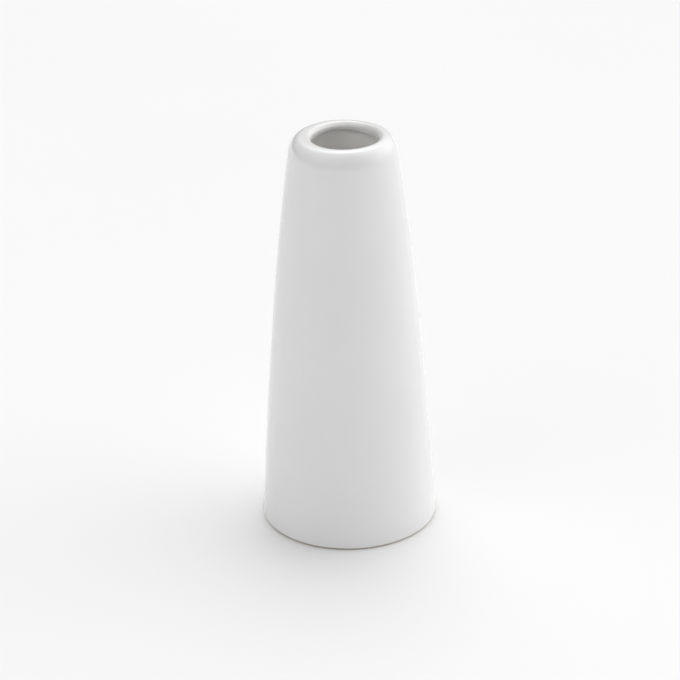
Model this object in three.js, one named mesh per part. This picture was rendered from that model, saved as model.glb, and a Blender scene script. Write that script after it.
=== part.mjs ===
// A tapered bud vase in glazed stoneware, as four fired layers that touch but never overlap.
// Units are millimetres, +Z is up, and the origin is on the vase's axis at the table.
// The glaze's surface is one walk: from the foot, up the outside, over the lip, in through the mouth and
// down to the inner floor. The clay's surface is that walk set back by the glaze's thickness, so clay and
// glaze share each circle of points exactly. Every walk keeps the solid on its left.

import * as THREE from 'three';

// ---- driving dimensions ----
const HEIGHT = 150;
const BASE_RADIUS = 32.5; // of the wall's line where it would reach the table
const TOP_RADIUS = 18.8; // of the same line where it would reach the crest
const BOW = 1.57; // how far the wall stands out from a straight cone at half height
const BOW_LEAN = 0.31; // how much the fullest part of the bow moves up

const SHOULDER = 7.2; // height over which the shoulder bends in to the crest
const SHOULDER_POWER = 2.6; // 2 would bend like an ellipse, more bends later and tighter
const CREST_RADIUS = 14.5; // of the highest circle of the lip
const MOUTH_RADIUS = 12.7; // the narrowest circle of the mouth
const CROWN_DROP = 2.2; // from the crest down to that circle
const MOUTH_LAND = 0.8; // height of the upright land in the mouth
const MOUTH_EDGE = 0.6; // radius of the edge under the land
const UNDERSIDE_BELOW_CREST = 9; // where the lip's underside has become the inner wall

const WALL = 5; // fired clay, without the glaze
const GLAZE = 0.4;
const GLAZE_POOL = 0.9; // glaze on the inner floor
const GLAZE_LINE = 0.5; // height of the glaze's lower edge above the table
const GLAZE_ROLL = 0.5; // the height over which that edge swells to full thickness

const FOOT_OUTER_RADIUS = 31.5; // the flat ring that stands on the table
const FOOT_INNER_RADIUS = 27;
const FOOT_EDGE = 0.5; // radius of the ring's inner edge
const RECESS = 1.8; // depth of the clay inside the foot ring
const RECESS_CORNER = 1; // radius where the ring's inner side meets the recess
const RECESS_GLAZE_GAP = 1.2; // bare clay left between the foot ring and the recess's glaze
const FLOOR = 7.5; // height of the inner floor, on the glaze
const FLOOR_CORNER = 8; // radius where the inner wall meets the floor

// ---- how finely the curves are cut ----
const SIDES = 64;
const WALL_STEPS = 8;
const SHOULDER_STEPS = 7;
const CROWN_STEPS = 6;
const EDGE_STEPS = 2;
const UNDERSIDE_STEPS = 4;
const INNER_WALL_STEPS = 6;
const CORNER_STEPS = 4;

const at = (radius, height) => new THREE.Vector2(radius, height);

// Points at even parts of the way from 0 to 1, both ends included
function sweep(steps, pointAt) {
  return Array.from({ length: steps + 1 }, (_, i) => pointAt(i / steps));
}

// The part of an ellipse from one angle to another, in degrees from outwards towards up
function arc(centre, across, up, from, to, steps) {
  return sweep(steps, (share) => {
    const angle = THREE.MathUtils.degToRad(from + (to - from) * share);
    return at(centre.x + across * Math.cos(angle), centre.y + up * Math.sin(angle));
  });
}

// Outside radius of the glazed wall at a height
function wallRadius(height) {
  const share = height / HEIGHT;
  const bow = 4 * BOW * share * (1 - share) * (1 - BOW_LEAN * (1 - 2 * share));
  return BASE_RADIUS + (TOP_RADIUS - BASE_RADIUS) * share + bow;
}

// Inside radius of the glazed wall at a height
const boreRadius = (height) => wallRadius(height) - WALL - 2 * GLAZE;

// A stretch of wall between two heights
function wallWalk(radiusAt, from, to, steps) {
  return sweep(steps, (share) => {
    const height = from + (to - from) * share;
    return at(radiusAt(height), height);
  });
}

// The glaze's surface up the outside, over the lip and down the mouth's land
function outsideWalk() {
  const shoulderStart = HEIGHT - SHOULDER;
  const wall = wallWalk(wallRadius, GLAZE_LINE + GLAZE_ROLL, shoulderStart, WALL_STEPS);
  const pullAtCrest = wallRadius(HEIGHT) - CREST_RADIUS;
  const shoulder = sweep(SHOULDER_STEPS, (share) => {
    const angle = share * Math.PI / 2;
    const height = shoulderStart + SHOULDER * Math.sin(angle) ** (2 / SHOULDER_POWER);
    const pull = pullAtCrest * (1 - Math.cos(angle) ** (2 / SHOULDER_POWER));
    return at(wallRadius(height) - pull, height);
  });
  const throat = at(CREST_RADIUS, HEIGHT - CROWN_DROP);
  const crown = arc(throat, CREST_RADIUS - MOUTH_RADIUS, CROWN_DROP, 90, 180, CROWN_STEPS);
  const landEnd = at(MOUTH_RADIUS, throat.y - MOUTH_LAND);
  return [...wall, ...shoulder.slice(1), ...crown.slice(1), landEnd];
}

// The glaze's surface from under the mouth's land down to the middle of the inner floor
function insideWalk(landEnd) {
  const edgeCentre = at(MOUTH_RADIUS + MOUTH_EDGE, landEnd.y);
  const edge = arc(edgeCentre, MOUTH_EDGE, MOUTH_EDGE, 180, 270, EDGE_STEPS);
  const edgeEnd = edge[edge.length - 1];
  const wallTop = HEIGHT - UNDERSIDE_BELOW_CREST;
  const undersideReach = boreRadius(wallTop) - edgeEnd.x;
  const underside = arc(
    at(edgeEnd.x, wallTop), undersideReach, edgeEnd.y - wallTop, 90, 0, UNDERSIDE_STEPS,
  );
  const wallFoot = FLOOR + FLOOR_CORNER;
  const wall = wallWalk(boreRadius, wallTop, wallFoot, INNER_WALL_STEPS);
  const cornerCentre = at(boreRadius(wallFoot) - FLOOR_CORNER, wallFoot);
  const corner = arc(cornerCentre, FLOOR_CORNER, FLOOR_CORNER, 0, -90, CORNER_STEPS);
  return [
    ...edge.slice(1), ...underside.slice(1), ...wall.slice(1), ...corner.slice(1), at(0, FLOOR),
  ];
}

// A walk moved into the clay, square to the surface, by the thickness given for each point
function setBack(walk, thicknessAt) {
  return walk.map((point, i) => {
    const before = walk[Math.max(i - 1, 0)];
    const after = walk[Math.min(i + 1, walk.length - 1)];
    const along = after.clone().sub(before).normalize();
    return point.clone().addScaledVector(at(-along.y, along.x), thicknessAt(point));
  });
}

// The glaze's surface in the recess, from the middle to its edge near the foot ring
function recessGlazeWalk() {
  const reach = FOOT_INNER_RADIUS - FOOT_EDGE - RECESS_CORNER - RECESS_GLAZE_GAP;
  return [at(0, RECESS - GLAZE), at(reach - GLAZE, RECESS - GLAZE), at(reach, RECESS)];
}

// The clay's surface from the middle of the recess, round the foot ring, to the glaze's lower edge
function footWalk() {
  const ringSide = FOOT_INNER_RADIUS - FOOT_EDGE;
  const recessCorner = at(ringSide - RECESS_CORNER, RECESS - RECESS_CORNER);
  const ringEdge = at(FOOT_INNER_RADIUS, FOOT_EDGE);
  return [
    at(0, RECESS),
    recessGlazeWalk()[2],
    ...arc(recessCorner, RECESS_CORNER, RECESS_CORNER, 90, 0, CORNER_STEPS / 2),
    ...arc(ringEdge, FOOT_EDGE, FOOT_EDGE, 180, 270, CORNER_STEPS / 2),
    at(FOOT_OUTER_RADIUS, 0),
    at(wallRadius(GLAZE_LINE / 2) - 2 * GLAZE, GLAZE_LINE / 2),
    at(wallRadius(GLAZE_LINE) - GLAZE, GLAZE_LINE),
  ];
}

// Turns an outline round +Z
function turned(name, outline, material) {
  const geometry = new THREE.LatheGeometry(outline, SIDES);
  geometry.rotateX(Math.PI / 2);
  const mesh = new THREE.Mesh(geometry, material);
  mesh.name = name;
  return mesh;
}

const matte = (color) => new THREE.MeshStandardMaterial({ color, roughness: 0.85, metalness: 0 });
const gloss = (color) => new THREE.MeshStandardMaterial({ color, roughness: 0.12, metalness: 0 });

const outside = outsideWalk();
const inside = insideWalk(outside[outside.length - 1]);
const clay = setBack([...outside, ...inside], (point) => (point.y > FLOOR ? GLAZE : GLAZE_POOL));
const clayOutside = clay.slice(0, outside.length);
const clayInside = clay.slice(outside.length);
clayInside[clayInside.length - 1].x = 0;

const foot = footWalk();
const glazeLine = foot[foot.length - 1];
const mouthSeam = [clayOutside[clayOutside.length - 1], outside[outside.length - 1]];

const outerGlaze = [glazeLine, ...outside, ...clayOutside.slice().reverse(), glazeLine];
const linerGlaze = [...clayInside.slice().reverse(), ...mouthSeam, ...inside];
const baseGlaze = [...recessGlazeWalk(), at(0, RECESS)];

const group = new THREE.Group();
group.name = 'bud_vase';
group.add(turned('clay_body', [...foot, ...clay], matte(0xd9d0c2)));
group.add(turned('outer_glaze', outerGlaze, gloss(0xf2f2f0)));
group.add(turned('liner_glaze', linerGlaze, gloss(0xe9e7e1)));
group.add(turned('base_glaze', baseGlaze, gloss(0xeeece8)));

export default group;
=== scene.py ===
"""The looks of a tapered bud vase in glazed stoneware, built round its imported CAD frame.

Four fine meshes stand for the four CAD layers: the fired clay, the outer glaze, the liner glaze and the
glaze in the recess under the base. Outlines are worked out in millimetres and turned round the axis, and
one function then makes the whole vase a little uneven, as a cast and glazed one is, so the layers stay
matched. Everything else is in metres.
"""

import math

import bpy
from mathutils import Matrix, Vector, noise


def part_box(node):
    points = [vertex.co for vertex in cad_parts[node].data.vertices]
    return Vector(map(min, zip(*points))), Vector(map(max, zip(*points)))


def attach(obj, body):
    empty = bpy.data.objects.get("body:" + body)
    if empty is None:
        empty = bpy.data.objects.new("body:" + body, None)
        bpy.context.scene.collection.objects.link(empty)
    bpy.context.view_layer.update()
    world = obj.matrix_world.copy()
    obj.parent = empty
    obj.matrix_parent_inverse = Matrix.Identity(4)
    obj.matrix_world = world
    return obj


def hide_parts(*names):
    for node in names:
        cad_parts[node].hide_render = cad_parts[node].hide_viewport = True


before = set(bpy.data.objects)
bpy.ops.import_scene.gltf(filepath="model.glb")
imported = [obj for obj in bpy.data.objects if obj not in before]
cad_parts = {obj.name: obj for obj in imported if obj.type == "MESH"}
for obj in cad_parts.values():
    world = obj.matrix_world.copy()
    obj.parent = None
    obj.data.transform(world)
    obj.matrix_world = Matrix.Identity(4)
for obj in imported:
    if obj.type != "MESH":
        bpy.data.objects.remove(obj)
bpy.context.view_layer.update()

MM = 0.001

# ---- sizes read from the frame, in mm ----
OUTER_LOW, OUTER_HIGH = (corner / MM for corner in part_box("outer_glaze"))
RECESS_LOW, RECESS_HIGH = (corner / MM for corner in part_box("base_glaze"))

HEIGHT = OUTER_HIGH.z
GLAZE_LINE = OUTER_LOW.z  # the outer glaze's lower edge above the table
RECESS = RECESS_HIGH.z  # depth of the clay inside the foot ring
RECESS_GLAZE = RECESS_HIGH.z - RECESS_LOW.z
RECESS_GLAZE_RADIUS = RECESS_HIGH.x
CLAY_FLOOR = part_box("liner_glaze")[0].z / MM

# ---- the CAD source's driving dimensions that no box shows, in mm ----
BASE_RADIUS = 32.5  # of the wall's line where it would reach the table
TOP_RADIUS = 18.8  # of the same line where it would reach the crest
BOW = 1.57
BOW_LEAN = 0.31
SHOULDER = 7.2
SHOULDER_POWER = 2.6
CREST_RADIUS = 14.5
MOUTH_RADIUS = 12.7
CROWN_DROP = 2.2
MOUTH_LAND = 0.8
MOUTH_EDGE = 0.6
UNDERSIDE_BELOW_CREST = 9
WALL = 5
GLAZE = 0.4
GLAZE_POOL = 0.9
GLAZE_ROLL = 0.5
FOOT_OUTER_RADIUS = 31.5
FOOT_INNER_RADIUS = 27
FOOT_EDGE = 0.5
RECESS_CORNER = 1
FLOOR = CLAY_FLOOR + GLAZE_POOL
FLOOR_CORNER = 8

# ---- how uneven the vase is, in mm ----
MOUTH_SHIFT = Vector((0.8, 0, 0))  # the mouth sits this far off the axis
MOUTH_OVAL = 0.6  # the mouth is this much narrower from side to side, on each side
EDGE_RISE = 0.9  # the mouth's lower edge rises this far at the back
EDGE_RISE_MIDDLE = math.radians(110)
EDGE_RISE_REACH = math.radians(70)  # how far the rise runs to either side
OVAL = 0.12  # the wall is this much flatter across one way
OVAL_DIRECTION = math.radians(35)
SWELL = 0.06  # broad soft waves in the wall
SWELL_LENGTH = 30
RIPPLE = 0.012  # the glaze's own small waves
RIPPLE_LENGTH = 5
CREST_DIP = 0.08  # how far the lip's crest dips in places
CREST_DIP_PLACES = 1.3  # more makes the dips shorter and more in number
LIP_STARTS = 9  # below the crest, where the lip's own unevenness sets in
LIP_FULL = 2  # below the crest, where it is at its full
MOUTH_MARGIN = 1  # how far the mouth's unevenness reaches past the throat and the crest
LINE_WAVE = 0.08  # how far the glaze line wanders up, more and less
LINE_TILT = 0.3  # how far it climbs from its lowest side to the opposite one
LINE_LOW_SIDE = math.radians(330)
LINE_REACH = 3  # the glaze moves with the line up to this height above it

# ---- how finely the surfaces are cut ----
SIDES = 256
WALL_STEPS = 110
INNER_WALL_STEPS = 60
CURVE_STEPS = 24
EDGE_STEPS = 8
FLOOR_STEPS = 14


# ---------------------------------------------------------------- outlines


def lerp(a, b, share):
    return a + (b - a) * share


def smoothstep(low, high, value):
    """0 below low, 1 above high, and smooth between; low may be above high."""
    share = min(1.0, max(0.0, (value - low) / (high - low)))
    return share * share * (3 - 2 * share)


def sweep(steps, point_at):
    """Points at even parts of the way from 0 to 1, both ends included."""
    return [point_at(i / steps) for i in range(steps + 1)]


def arc(centre, across, up, start, end, steps):
    """The part of an ellipse from one angle to another, in degrees from outwards towards up."""
    def point_at(share):
        angle = math.radians(lerp(start, end, share))
        return (centre[0] + across * math.cos(angle), centre[1] + up * math.sin(angle))
    return sweep(steps, point_at)


def wall_radius(height):
    share = height / HEIGHT
    bow = 4 * BOW * share * (1 - share) * (1 - BOW_LEAN * (1 - 2 * share))
    return BASE_RADIUS + (TOP_RADIUS - BASE_RADIUS) * share + bow


def bore_radius(height):
    return wall_radius(height) - WALL - 2 * GLAZE


def wall_walk(radius_at, start, end, steps):
    def point_at(share):
        height = lerp(start, end, share)
        return (radius_at(height), height)
    return sweep(steps, point_at)


def outside_walk():
    """The glaze's surface up the outside, over the lip and down the mouth's land."""
    shoulder_start = HEIGHT - SHOULDER
    wall = wall_walk(wall_radius, GLAZE_LINE + GLAZE_ROLL, shoulder_start, WALL_STEPS)
    pull_at_crest = wall_radius(HEIGHT) - CREST_RADIUS

    def shoulder_at(share):
        angle = share * math.pi / 2
        height = shoulder_start + SHOULDER * math.sin(angle) ** (2 / SHOULDER_POWER)
        cosine = max(0.0, math.cos(angle))
        pull = pull_at_crest * (1 - cosine ** (2 / SHOULDER_POWER))
        return (wall_radius(height) - pull, height)

    shoulder = sweep(CURVE_STEPS, shoulder_at)
    throat = (CREST_RADIUS, HEIGHT - CROWN_DROP)
    crown = arc(throat, CREST_RADIUS - MOUTH_RADIUS, CROWN_DROP, 90, 180, CURVE_STEPS)
    land = sweep(4, lambda share: (MOUTH_RADIUS, throat[1] - MOUTH_LAND * share))
    return [*wall, *shoulder[1:], *crown[1:], *land[1:]]


def inside_walk(land_end):
    """The glaze's surface from under the mouth's land down to the middle of the inner floor."""
    edge_centre = (MOUTH_RADIUS + MOUTH_EDGE, land_end[1])
    edge = arc(edge_centre, MOUTH_EDGE, MOUTH_EDGE, 180, 270, EDGE_STEPS)
    edge_end = edge[-1]
    wall_top = HEIGHT - UNDERSIDE_BELOW_CREST
    reach = bore_radius(wall_top) - edge_end[0]
    underside = arc((edge_end[0], wall_top), reach, edge_end[1] - wall_top, 90, 0, CURVE_STEPS)
    wall_foot = FLOOR + FLOOR_CORNER
    wall = wall_walk(bore_radius, wall_top, wall_foot, INNER_WALL_STEPS)
    corner_centre = (bore_radius(wall_foot) - FLOOR_CORNER, wall_foot)
    corner = arc(corner_centre, FLOOR_CORNER, FLOOR_CORNER, 0, -90, CURVE_STEPS)
    floor_edge = corner[-1][0]
    floor = sweep(FLOOR_STEPS, lambda share: (lerp(floor_edge, 0, share), FLOOR))
    return [*edge[1:], *underside[1:], *wall[1:], *corner[1:], *floor[1:]]


def set_back(walk, thickness_at):
    """A walk moved into the clay, square to the surface; the solid is on the walk's left."""
    moved = []
    for i, (radius, height) in enumerate(walk):
        before = walk[max(i - 1, 0)]
        after = walk[min(i + 1, len(walk) - 1)]
        along = Vector((after[0] - before[0], after[1] - before[1])).normalized()
        thickness = thickness_at(radius, height)
        moved.append((radius - along.y * thickness, height + along.x * thickness))
    return moved


def glaze_thickness(radius, height):
    """The glaze is a skin on the walls and pools on the inner floor."""
    return lerp(GLAZE_POOL, GLAZE, smoothstep(FLOOR, FLOOR + FLOOR_CORNER, height))


def foot_walk():
    """The clay from the middle of the recess, round the foot ring, to the glaze's lower edge."""
    ring_side = FOOT_INNER_RADIUS - FOOT_EDGE
    recess_corner = (ring_side - RECESS_CORNER, RECESS - RECESS_CORNER)
    ring_edge = (FOOT_INNER_RADIUS, FOOT_EDGE)
    foot_side = (wall_radius(GLAZE_LINE / 2) - 2 * GLAZE, GLAZE_LINE / 2)
    recess = sweep(FLOOR_STEPS, lambda share: (recess_corner[0] * share, RECESS))
    ring = sweep(FLOOR_STEPS, lambda share: (lerp(FOOT_INNER_RADIUS, FOOT_OUTER_RADIUS, share), 0))
    outer_edge = sweep(EDGE_STEPS, lambda share: (
        lerp(FOOT_OUTER_RADIUS, foot_side[0], share), foot_side[1] * (1 - math.cos(share * math.pi / 2)),
    ))
    return [
        *recess[:-1],
        *arc(recess_corner, RECESS_CORNER, RECESS_CORNER, 90, 0, EDGE_STEPS),
        *arc(ring_edge, FOOT_EDGE, FOOT_EDGE, 180, 270, EDGE_STEPS),
        *ring[1:],
        *outer_edge[1:],
        (wall_radius(GLAZE_LINE) - GLAZE, GLAZE_LINE),
    ]


def glaze_lip_walk(start, end):
    """The outer glaze's rolled lower edge, from the clay at the glaze line out to the glaze's surface."""
    def point_at(share):
        angle = share * math.pi / 2
        radius = lerp(start[0], end[0], math.sin(angle))
        return (radius, lerp(start[1], end[1], 1 - math.cos(angle)))
    return sweep(EDGE_STEPS, point_at)


def recess_glaze_walk():
    """The glaze in the recess, from its middle to its rounded rim and back along the clay."""
    rim_centre = (RECESS_GLAZE_RADIUS - RECESS_GLAZE, RECESS)
    face = sweep(FLOOR_STEPS, lambda share: (rim_centre[0] * share, RECESS - RECESS_GLAZE))
    rim = arc(rim_centre, RECESS_GLAZE, RECESS_GLAZE, -90, 0, EDGE_STEPS)
    back = sweep(FLOOR_STEPS, lambda share: (RECESS_GLAZE_RADIUS * (1 - share), RECESS))
    return [*face, *rim[1:], *back[1:]]


# ---------------------------------------------------------------- turning the outlines


def uneven(radius, height, angle):
    """A point of the vase, in mm, moved as little as casting, drying and firing would move it."""
    direction = Vector((math.cos(angle), math.sin(angle), 0))
    spot = direction * radius + Vector((0, 0, height))
    on_lip = smoothstep(HEIGHT - LIP_STARTS, HEIGHT - LIP_FULL, height)
    near_mouth = on_lip * smoothstep(CREST_RADIUS + MOUTH_MARGIN, MOUTH_RADIUS + MOUTH_MARGIN, radius)
    on_wall = smoothstep(0.2 * BASE_RADIUS, 0.4 * BASE_RADIUS, radius)

    oval = OVAL * (1 - math.cos(2 * (angle - OVAL_DIRECTION))) / 2
    swell = SWELL * (1 + noise.noise(spot / SWELL_LENGTH))
    radius -= (oval + swell) * on_wall * smoothstep(0, GLAZE_LINE * 4, height)

    around = Vector((math.cos(angle), math.sin(angle), 3)) * CREST_DIP_PLACES
    dip = CREST_DIP * (1 + noise.noise(around)) * on_lip
    down_lip = smoothstep(HEIGHT - 0.5, HEIGHT - CROWN_DROP - MOUTH_LAND, height) * near_mouth
    aside = abs(math.remainder(angle - EDGE_RISE_MIDDLE, 2 * math.pi)) / EDGE_RISE_REACH
    rise = EDGE_RISE * smoothstep(1, 0, aside) * down_lip
    radius -= MOUTH_OVAL * direction.x ** 2 * near_mouth
    lift = Vector((0, 0, rise - dip))
    return Vector((radius * direction.x, radius * direction.y, height)) + MOUTH_SHIFT * near_mouth + lift


def turned(name, outline, surface_move=None):
    """A closed mesh: the outline, which starts and ends on the axis or closes on itself, turned round."""
    vertices = []
    rings = []
    for index, (radius, height) in enumerate(outline):
        if radius < 1e-6:
            rings.append([len(vertices)] * SIDES)
            vertices.append(uneven(0, height, 0) * MM)
            continue
        rings.append(range(len(vertices), len(vertices) + SIDES))
        for side in range(SIDES):
            angle = 2 * math.pi * side / SIDES
            point_radius, point_height = radius, height
            if surface_move:
                point_radius, point_height = surface_move(index, radius, height, angle)
            vertices.append(uneven(point_radius, point_height, angle) * MM)
    closes = outline[0][0] > 1e-6
    faces = []
    for index in range(len(rings) if closes else len(rings) - 1):
        lower = rings[index]
        upper = rings[(index + 1) % len(rings)]
        for side in range(SIDES):
            following = (side + 1) % SIDES
            corners = [lower[side], lower[following], upper[following], upper[side]]
            faces.append(list(dict.fromkeys(corners)))
    mesh = bpy.data.meshes.new(name)
    mesh.from_pydata(vertices, [], faces)
    mesh.validate()
    mesh.shade_smooth()
    piece = bpy.data.objects.new(name, mesh)
    bpy.context.scene.collection.objects.link(piece)
    return piece


def glaze_surface(surface_points, edge_points):
    """Small waves for the outer glaze's open surface, and a lower edge that tilts and wanders."""
    def move(index, radius, height, angle):
        around = Vector((math.cos(angle), math.sin(angle), 0))
        at_line = smoothstep(GLAZE_LINE + LINE_REACH, GLAZE_LINE, height)
        tilt = LINE_TILT * (1 - math.cos(angle - LINE_LOW_SIDE)) / 2
        wander = (tilt + LINE_WAVE * (1 + noise.noise(around * 4))) * at_line
        if index >= surface_points:
            return radius, height + wander
        spot = (around * radius + Vector((0, 0, height))) / RIPPLE_LENGTH
        ripple = RIPPLE * (noise.noise(spot) - 1)
        if index < edge_points:
            ripple = 0  # the rolled edge stays smooth
        return radius + ripple, height + wander
    return move


def build_pieces():
    """The four pieces, each on the CAD body and in the place of its CAD node."""
    outside = outside_walk()
    inside = inside_walk(outside[-1])
    clay = set_back([*outside, *inside], glaze_thickness)
    clay[-1] = (0, clay[-1][1])
    clay_outside = clay[:len(outside)]
    clay_inside = clay[len(outside):]
    foot = foot_walk()
    edge = glaze_lip_walk(foot[-1], outside[0])

    outer_outline = [*edge, *outside[1:], *reversed(clay_outside)]
    liner_outline = [*reversed(clay_inside), clay_outside[-1], outside[-1], *inside]
    outer_surface = glaze_surface(len(edge) + len(outside) - 1, len(edge))
    pieces = [
        (turned("fired_clay", [*foot, *clay]), "clay_body", "fired_clay", fired_clay()),
        (turned("white_glaze", outer_outline, outer_surface), "outer_glaze", "outer_glaze", white_glaze()),
        (turned("inner_glaze", liner_outline), "liner_glaze", "liner_glaze", liner_glaze_painted_lighter()),
        (turned("recess_glaze", recess_glaze_walk()), "base_glaze", "base_glaze", recess_glaze()),
    ]
    for piece, node, slot, material in pieces:
        piece.data.materials.append(material)
        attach(piece, "root")
        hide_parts(node)


# ---------------------------------------------------------------- materials


class Shader:
    """A material's node tree, with short calls for the nodes that the finishes share."""

    def __init__(self, name):
        self.material = bpy.data.materials.new(name)
        self.material.use_nodes = True
        self.nodes = self.material.node_tree.nodes
        self.links = self.material.node_tree.links
        self.surface = self.nodes["Principled BSDF"]
        self.place = self.nodes.new("ShaderNodeTexCoord").outputs["Object"]

    def node(self, kind, inputs=(), **settings):
        made = self.nodes.new(kind)
        for key, value in settings.items():
            setattr(made, key, value)
        for key, value in dict(inputs).items():
            if isinstance(value, bpy.types.NodeSocket):
                self.links.new(value, made.inputs[key])
            else:
                made.inputs[key].default_value = value
        return made

    def noise(self, per_metre, detail=2.0, place=None):
        inputs = {"Vector": place or self.place, "Scale": per_metre, "Detail": detail}
        return self.node("ShaderNodeTexNoise", inputs).outputs["Fac"]

    def fade(self, value, low, high, to_low=0.0, to_high=1.0):
        """value from low to high, smoothly made into to_low to to_high."""
        inputs = {"Value": value, "From Min": low, "From Max": high, "To Min": to_low, "To Max": to_high}
        made = self.node("ShaderNodeMapRange", inputs, interpolation_type="SMOOTHSTEP")
        return made.outputs["Result"]

    def maths(self, operation, first, second):
        return self.node("ShaderNodeMath", {0: first, 1: second}, operation=operation).outputs[0]

    def mix(self, share, first, second):
        made = self.node("ShaderNodeMix", data_type="RGBA")
        for socket, value in ((made.inputs[0], share), (made.inputs[6], first), (made.inputs[7], second)):
            if isinstance(value, bpy.types.NodeSocket):
                self.links.new(value, socket)
            else:
                socket.default_value = value
        return made.outputs[2]

    def height_and_radius(self):
        split = self.node("ShaderNodeSeparateXYZ", {"Vector": self.place})
        flat = self.node("ShaderNodeCombineXYZ", {"X": split.outputs["X"], "Y": split.outputs["Y"]})
        radius = self.node("ShaderNodeVectorMath", {0: flat.outputs[0]}, operation="LENGTH").outputs["Value"]
        return split.outputs["Z"], radius

    def bump(self, height, distance, strength, below=None):
        inputs = {"Height": height, "Distance": distance, "Strength": strength}
        if below is not None:
            inputs["Normal"] = below
        return self.node("ShaderNodeBump", inputs).outputs["Normal"]

    def finish(self, **inputs):
        for key, value in inputs.items():
            socket = self.surface.inputs[key.replace("_", " ")]
            if isinstance(value, bpy.types.NodeSocket):
                self.links.new(value, socket)
            else:
                socket.default_value = value
        return self.material


def pinholes(shader, per_metre, size):
    """1 at the middle of a few tiny pits left by bubbles, 0 elsewhere."""
    inputs = {"Vector": shader.place, "Scale": per_metre}
    cells = shader.node("ShaderNodeTexVoronoi", inputs)
    pit = shader.fade(cells.outputs["Distance"], size, size * 0.3)
    tone = shader.node("ShaderNodeSeparateColor", {"Color": cells.outputs["Color"]})
    few = shader.fade(tone.outputs["Red"], 0.9, 0.92)
    return shader.maths("MULTIPLY", pit, few)


def white_glaze():
    """Gloss white, a touch warmer where it thins at the mouth's edge and at the glaze line."""
    shader = Shader("white_glaze")
    height, radius = shader.height_and_radius()
    cloud = shader.fade(shader.noise(28, 3), 0.3, 0.7)
    white = shader.mix(cloud, (0.868, 0.868, 0.868, 1), (0.884, 0.885, 0.883, 1))
    high_up = shader.fade(height, (HEIGHT - 4) * MM, (HEIGHT - 1) * MM)
    near_mouth = shader.fade(radius, (MOUTH_RADIUS + 2.2) * MM, (MOUTH_RADIUS + 0.4) * MM)
    thin_at_mouth = shader.maths("MULTIPLY", high_up, near_mouth)
    thin_at_foot = shader.fade(height, (GLAZE_LINE + 1.1) * MM, (GLAZE_LINE + 0.2) * MM)
    thin = shader.maths("MAXIMUM", thin_at_mouth, thin_at_foot)
    patchy = shader.fade(shader.noise(160, 2), 0.25, 0.75, 0.0, 0.25)
    colour = shader.mix(shader.maths("MULTIPLY", thin, patchy), white, (0.80, 0.735, 0.665, 1))
    waves = shader.bump(shader.noise(190, 1), 0.00006, 0.5)
    pits = shader.maths("SUBTRACT", 0.0, pinholes(shader, 520, 0.16))
    normal = shader.bump(pits, 0.00008, 0.6, waves)
    gloss = shader.fade(shader.noise(60, 2), 0.3, 0.7, 0.10, 0.17)
    return shader.finish(
        Base_Color=colour, Roughness=gloss, Normal=normal, IOR=1.5,
        Coat_Weight=0.3, Coat_Roughness=0.05, Coat_IOR=1.5,
    )


def liner_glaze_painted_lighter():
    """The liner: the same gloss over a warmer white, set paler than the outer glaze as painted light so the
    shaded inside reads brighter, with long soft runs down the wall.
    """
    shader = Shader("liner_glaze_painted_lighter")
    stretch = shader.node("ShaderNodeVectorMath", {0: shader.place, 1: (1, 1, 0.15)}, operation="MULTIPLY")
    runs = shader.fade(shader.noise(120, 2, stretch.outputs[0]), 0.35, 0.65)
    # painted light: these whites are paler than the outer glaze's so that the shaded inside of the neck
    # looks brighter; the warm tint and the runs are the liner's own
    colour = shader.mix(runs, (0.925, 0.915, 0.89, 1), (0.94, 0.93, 0.91, 1))
    normal = shader.bump(shader.noise(150, 1, stretch.outputs[0]), 0.0001, 0.6)
    gloss = shader.fade(shader.noise(60, 2), 0.3, 0.7, 0.14, 0.22)
    return shader.finish(Base_Color=colour, Roughness=gloss, Normal=normal, IOR=1.5)


def recess_glaze():
    """Glaze under the base: it pools and greys a little towards the middle, with more pits."""
    shader = Shader("recess_glaze")
    radius = shader.height_and_radius()[1]
    pool = shader.fade(radius, RECESS_GLAZE_RADIUS * MM, 0.0)
    mottle = shader.maths("MULTIPLY", pool, shader.fade(shader.noise(90, 3), 0.3, 0.7))
    colour = shader.mix(mottle, (0.85, 0.84, 0.82, 1), (0.79, 0.785, 0.765, 1))
    pits = shader.maths("SUBTRACT", 0.0, pinholes(shader, 260, 0.18))
    normal = shader.bump(pits, 0.00025, 0.8, shader.bump(shader.noise(120, 1), 0.00015, 0.6))
    gloss = shader.fade(shader.noise(80, 2), 0.3, 0.7, 0.12, 0.24)
    return shader.finish(Base_Color=colour, Roughness=gloss, Normal=normal, IOR=1.5)


def fired_clay():
    """Bare stoneware: matte and sandy, with dark grains, and fine rings where the foot was wiped."""
    shader = Shader("fired_clay")
    radius = shader.height_and_radius()[1]
    cloud = shader.fade(shader.noise(70, 3), 0.3, 0.7)
    base = shader.mix(cloud, (0.60, 0.53, 0.44, 1), (0.70, 0.64, 0.55, 1))
    inputs = {"Vector": shader.place, "Scale": 900}
    grains = shader.node("ShaderNodeTexVoronoi", inputs)
    tone = shader.node("ShaderNodeSeparateColor", {"Color": grains.outputs["Color"]})
    dark = shader.fade(tone.outputs["Red"], 0.93, 0.97, 0.0, 0.55)
    colour = shader.mix(dark, base, (0.33, 0.26, 0.20, 1))
    rings = shader.node(
        "ShaderNodeMath", {0: shader.maths("MULTIPLY", radius, 9000.0)}, operation="SINE",
    ).outputs[0]
    wiped = shader.bump(rings, 0.00003, 0.4)
    normal = shader.bump(shader.noise(1400, 3), 0.00012, 0.7, wiped)
    rough = shader.fade(shader.noise(300, 2), 0.3, 0.7, 0.78, 0.95)
    return shader.finish(Base_Color=colour, Roughness=rough, Normal=normal, IOR=1.5)


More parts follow.
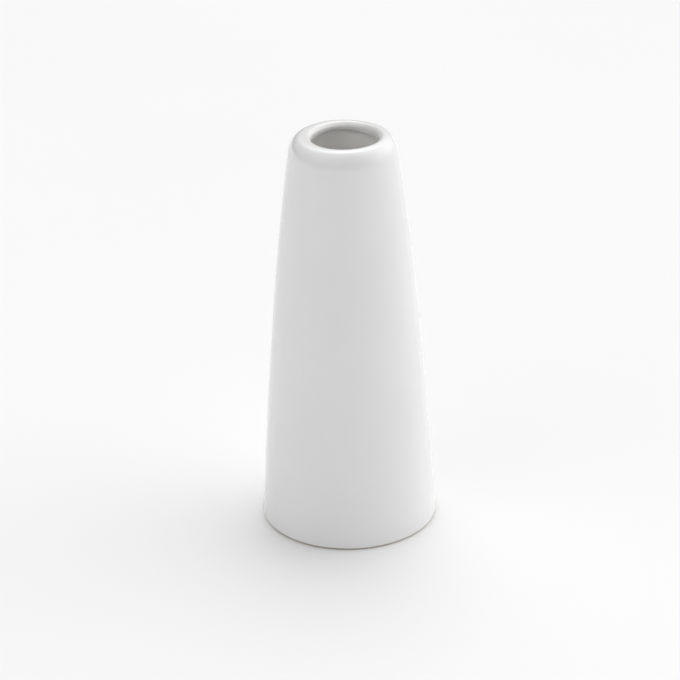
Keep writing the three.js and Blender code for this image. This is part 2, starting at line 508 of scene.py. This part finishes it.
def pale_floor():
    """Smooth pale board with a barely visible tooth."""
    shader = Shader("pale_floor")
    cloud = shader.fade(shader.noise(3, 2), 0.3, 0.7)
    colour = shader.mix(cloud, (0.895, 0.895, 0.895, 1), (0.905, 0.905, 0.905, 1))
    tooth = shader.bump(shader.noise(900, 2), 0.00002, 0.3)
    return shader.finish(Base_Color=colour, Roughness=0.75, Normal=tooth, Specular_IOR_Level=0.2)


# ---------------------------------------------------------------- stage, light and camera

FLOOR_RADIUS = 8.0
FLOOR_SIDES = 96


def build_floor():
    rim = []
    for side in range(FLOOR_SIDES):
        angle = 2 * math.pi * side / FLOOR_SIDES
        rim.append((FLOOR_RADIUS * math.cos(angle), FLOOR_RADIUS * math.sin(angle), 0))
    mesh = bpy.data.meshes.new("floor")
    mesh.from_pydata(rim, [], [list(range(FLOOR_SIDES))])
    floor = bpy.data.objects.new("floor", mesh)
    bpy.context.scene.collection.objects.link(floor)
    floor.data.materials.append(pale_floor())


# A plain three-light studio, all soft: each light is a broad glow in the dome round the vase. It has the
# side it is on in degrees from +X towards +Y, its height in degrees, how tight it is, and how bright.
LIGHTS = {
    "key_high_behind": (90, 60, 14, 3.6),
    "fill_low_right": (15, 20, 3, 2.0),
    "fill_high_front_left": (220, 50, 4, 1.3),
}


def towards(azimuth, elevation):
    across = math.cos(math.radians(elevation))
    turn = math.radians(azimuth)
    return Vector((across * math.cos(turn), across * math.sin(turn), math.sin(math.radians(elevation))))


def build_light():
    """A soft dome, the sum of the lights; each is a power of the cosine to its middle."""
    world = bpy.data.worlds.new("soft_dome")
    bpy.context.scene.world = world
    world.use_nodes = True
    nodes = world.node_tree.nodes
    links = world.node_tree.links
    direction = nodes.new("ShaderNodeTexCoord").outputs["Generated"]
    total = None
    for name, (azimuth, elevation, tightness, strength) in LIGHTS.items():
        cosine = nodes.new("ShaderNodeVectorMath")
        cosine.operation = "DOT_PRODUCT"
        links.new(direction, cosine.inputs[0])
        cosine.inputs[1].default_value = towards(azimuth, elevation)
        facing = nodes.new("ShaderNodeMath")
        facing.operation = "MAXIMUM"
        links.new(cosine.outputs["Value"], facing.inputs[0])
        facing.inputs[1].default_value = 0
        lobe = nodes.new("ShaderNodeMath")
        lobe.operation = "POWER"
        links.new(facing.outputs[0], lobe.inputs[0])
        lobe.inputs[1].default_value = tightness
        added = nodes.new("ShaderNodeMath")
        added.name = name
        added.operation = "MULTIPLY_ADD"
        links.new(lobe.outputs[0], added.inputs[0])
        added.inputs[1].default_value = strength
        if total is None:
            added.inputs[2].default_value = 0
        else:
            links.new(total, added.inputs[2])
        total = added.outputs[0]
    links.new(total, nodes["Background"].inputs["Strength"])
    nodes["Background"].inputs["Color"].default_value = (1, 1, 1, 1)


CAMERA_DISTANCE = 0.95
CAMERA_ELEVATION = math.radians(25.56)
CAMERA_ROLL = math.radians(-1.125)
CAMERA_AIM = Vector((-0.00236, 0, 0.06996))
CAMERA_LENS = 137.6


def build_camera():
    """A long lens in front and above; the small roll tips the vase's top a little to the left."""
    back = Vector((0, -math.cos(CAMERA_ELEVATION), math.sin(CAMERA_ELEVATION)))
    level_right = Vector((1, 0, 0))
    level_up = back.cross(level_right)
    right = math.cos(CAMERA_ROLL) * level_right + math.sin(CAMERA_ROLL) * level_up
    up = math.cos(CAMERA_ROLL) * level_up - math.sin(CAMERA_ROLL) * level_right
    data = bpy.data.cameras.new("camera")
    data.lens = CAMERA_LENS
    camera = bpy.data.objects.new("camera", data)
    bpy.context.scene.collection.objects.link(camera)
    turn = Matrix((right, up, back)).transposed().to_4x4()
    camera.matrix_world = Matrix.Translation(CAMERA_AIM + back * CAMERA_DISTANCE) @ turn
    bpy.context.scene.camera = camera


build_camera()
build_light()
build_floor()
build_pieces()
bpy.context.scene.view_settings.view_transform = "Standard"
